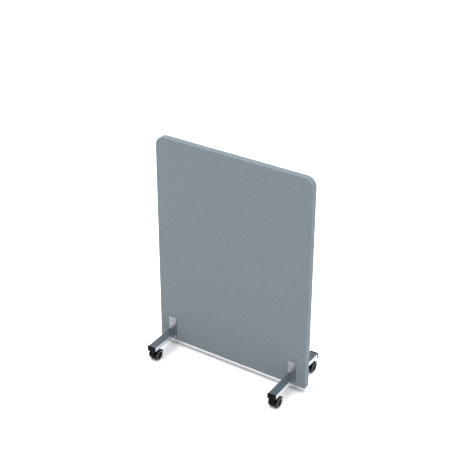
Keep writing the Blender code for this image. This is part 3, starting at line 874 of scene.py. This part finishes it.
def hood_mesh():
    """The castor's body about the swivel axis, trailing to +Y: fender, web and boss."""
    # Each station is (degrees from the fender's end, thickness there).
    stations = [(0.0, 0.25), (0.7, 0.62), (1.6, 0.88), (3.0, 1.0)]
    body = HOOD_END - HOOD_START - 6
    sections = [(HOOD_START + a, thin) for a, thin in stations]
    sections += [(HOOD_START + 3 + body * step / 56, 1.0) for step in range(1, 56)]
    sections += [(HOOD_END - a, thin) for a, thin in reversed(stations)]
    fender = loft([fender_section(angle, thin) for angle, thin in sections])
    top = TUBE_BOTTOM - GAP - COLLAR_HEIGHT - GAP
    boss = lathe([(0, BOSS_BOTTOM), (BOSS_RADIUS, BOSS_BOTTOM), (BOSS_RADIUS + 0.001, 0.0595),
                  (BOSS_RADIUS + 0.0002, 0.0635), (BOSS_RADIUS, top - 0.001),
                  (BOSS_RADIUS - 0.0008, top - 0.0002), (BOSS_RADIUS - 0.0012, top), (0, top)], 64)
    socket = lathe([(0, PIN_BOTTOM - GAP), (PIN_RADIUS + GAP, PIN_BOTTOM - GAP),
                    (PIN_RADIUS + GAP, 0.1), (0, 0.1)], 64)
    bore = lathe([(0, -0.04), (AXLE_HOLE_RADIUS, -0.04), (AXLE_HOLE_RADIUS, 0.04), (0, 0.04)], 48)
    at_axle = Matrix.Translation((0, CASTOR_TRAIL, WHEEL_RADIUS))
    bore = turned_copy(bore, at_axle @ Matrix.Rotation(math.pi / 2, 4, "Y"))
    return carved(fender, joined=[web_mesh(), boss], cutters=[socket, bore])


def tyre_mesh():
    """The tread about Z, a little crowned, with rounded shoulders."""
    half, crown, shoulder = WHEEL_HALF_WIDTH, 0.0003, 0.0022
    section = [(TYRE_INNER_RADIUS, -half + 0.0002), (TYRE_INNER_RADIUS + 0.0003, -half)]
    for a in [math.radians(15 * step) for step in range(7)]:
        section.append((WHEEL_RADIUS - crown - shoulder + shoulder * math.sin(a),
                        -half + shoulder - shoulder * math.cos(a)))
    section += [(WHEEL_RADIUS - crown * (height / half) ** 2, height)
                for height in (-0.0040, -0.0022, 0.0)]
    mirrored = [(radius, -height) for radius, height in reversed(section[:-1])]
    return lathe(section + mirrored)


def band_mesh():
    """The light ring on a wheel's outer side, about Z."""
    face = WHEEL_HALF_WIDTH
    return lathe([(0.0246, face - 0.0012), (0.0246, face - 0.0002), (0.0249, face + 0.0001),
                  (0.0256, face + 0.0003), (0.0266, face + 0.0003), (0.0273, face + 0.0001),
                  (0.0276, face - 0.0003), (0.0276, face - 0.0012)])


def hub_mesh():
    """A dished hub about Z, its face at +Z, with a blind bore behind."""
    inner = -WHEEL_HALF_WIDTH + GAP
    rim = WHEEL_HALF_WIDTH - 0.0009
    edge = TYRE_INNER_RADIUS - GAP
    dish = rim - 0.0022
    bore = AXLE_HOLE_RADIUS
    return lathe([(bore, inner), (edge - 0.0004, inner), (edge, inner + 0.0004),
                  (edge, rim - 0.0005), (edge - 0.0003, rim - 0.0001), (edge - 0.0007, rim),
                  (0.0225, rim), (0.0219, rim - 0.0002), (0.0214, rim - 0.0008),
                  (0.0209, dish + 0.0005), (0.0202, dish + 0.0001), (0.0192, dish),
                  (0.0105, dish + 0.0003), (0.0092, dish + 0.0005), (0.0084, dish + 0.001),
                  (0.0079, rim - 0.0008), (0.0074, rim - 0.0004), (0.0066, rim - 0.0002),
                  (0.0030, rim - 0.0001), (0.0026, rim - 0.0003), (0.0024, rim - 0.0007),
                  (0, rim - 0.0008), (0, HUB_BORE_END), (bore, HUB_BORE_END)])


def build_castors():
    black = plastic_look("hood_plastic", (0.002, 0.002, 0.0025), 0.38)
    hub_black = plastic_look("hub_plastic", (0.006, 0.006, 0.008), 0.42)
    band_grey = plastic_look("band_plastic", (0.34, 0.34, 0.35), 0.45)
    rubber = rubber_look()
    hood, hub, tyre, band = hood_mesh(), hub_mesh(), tyre_mesh(), band_mesh()
    for end, end_sign in ENDS.items():
        for side, side_sign in SIDES.items():
            name = f"{end}_{side}"
            swivel = Matrix.Translation((side_sign * FOOT_X, end_sign * SWIVEL_Y, 0))
            if end_sign > 0:
                swivel = swivel @ Matrix.Rotation(math.pi, 4, "Z")
            piece(f"{name}_hood_finished", turned_copy(hood, swivel), black, f"{name}_castor",
                  [f"{name}_hood"])
            for facing in (-1, 1):
                where = "outer" if facing * -end_sign == side_sign else "inner"
                wheel = swivel @ Matrix.Translation((facing * WHEEL_X, CASTOR_TRAIL, WHEEL_RADIUS))
                wheel = wheel @ Matrix.Rotation(facing * math.pi / 2, 4, "Y")
                body = f"{name}_{where}_wheel"
                piece(f"{name}_{where}_hub_finished", turned_copy(hub, wheel), hub_black, body,
                      [f"{name}_{where}_hub"])
                piece(f"{name}_{where}_tyre_finished", turned_copy(tyre, wheel), rubber, body,
                      [f"{name}_{where}_tyre"])
                piece(f"{name}_{where}_side_band", turned_copy(band, wheel), band_grey, body)


# ---------------------------------------------------------------- inside


def dress_inside():
    wood, felt = wood_look(), felt_look()
    for node in ("top_rail", "bottom_rail", "left_stile", "right_stile"):
        dress(node, wood)
    dress("acoustic_core", felt)


# ---------------------------------------------------------------- studio


def build_studio():
    floor = bpy.data.meshes.new("floor")
    corners = [(x, y, 0) for x, y in ((-1, -1), (1, -1), (1, 1), (-1, 1))]
    floor.from_pydata([Vector(corner) * FLOOR_REACH for corner in corners], [], [(0, 1, 2, 3)])
    floor.materials.append(floor_look())
    ground = bpy.data.objects.new("floor", floor)
    bpy.context.scene.collection.objects.link(ground)

    world = bpy.data.worlds.new("studio")
    bpy.context.scene.world = world
    world.use_nodes = True
    tree = world.node_tree
    background = tree.nodes["Background"]
    ramp = tree.nodes.new("ShaderNodeValToRGB")
    split = tree.nodes.new("ShaderNodeSeparateXYZ")
    coordinates = tree.nodes.new("ShaderNodeTexCoord")
    tree.links.new(coordinates.outputs["Generated"], split.inputs[0])
    tree.links.new(split.outputs[2], ramp.inputs[0])
    tree.links.new(ramp.outputs[0], background.inputs[0])
    stops = ramp.color_ramp.elements
    stops[0].position, stops[0].color = HORIZON
    stops[1].position, stops[1].color = ZENITH
    for height, level in SKY_BANDS:
        stops.new(height).color = (level, level * 1.01, level * 1.03, 1)
    background.inputs[1].default_value = 1.0

    data = bpy.data.lights.new("overhead", "SUN")
    data.energy = SUN_ENERGY
    data.angle = math.radians(SUN_ANGLE)
    lamp = bpy.data.objects.new("overhead", data)
    bpy.context.scene.collection.objects.link(lamp)
    lamp.rotation_euler = (math.radians(SUN_TILT), 0, 0)
    bpy.context.scene.view_settings.view_transform = "Standard"


def build_camera():
    """The camera stands right of the front and looks down on the wall."""
    azimuth, elevation = math.radians(CAMERA_AZIMUTH), math.radians(CAMERA_ELEVATION)
    back = Vector((math.sin(azimuth) * math.cos(elevation),
                   -math.cos(azimuth) * math.cos(elevation), math.sin(elevation)))
    right = Vector((math.cos(azimuth), math.sin(azimuth), 0))
    up = back.cross(right)
    data = bpy.data.cameras.new("camera")
    data.lens = CAMERA_LENS
    data.sensor_width = 36
    data.clip_end = 200
    camera = bpy.data.objects.new("camera", data)
    bpy.context.scene.collection.objects.link(camera)
    camera.location = (Vector(CAMERA_AIM) + right * CAMERA_ACROSS + up * CAMERA_LIFT
                       + back * CAMERA_DISTANCE)
    camera.rotation_mode = "QUATERNION"
    camera.rotation_quaternion = (-back).to_track_quat("-Z", "Y")
    bpy.context.scene.camera = camera


build_panel()
build_feet()
build_castors()
dress_inside()
build_studio()
build_camera()
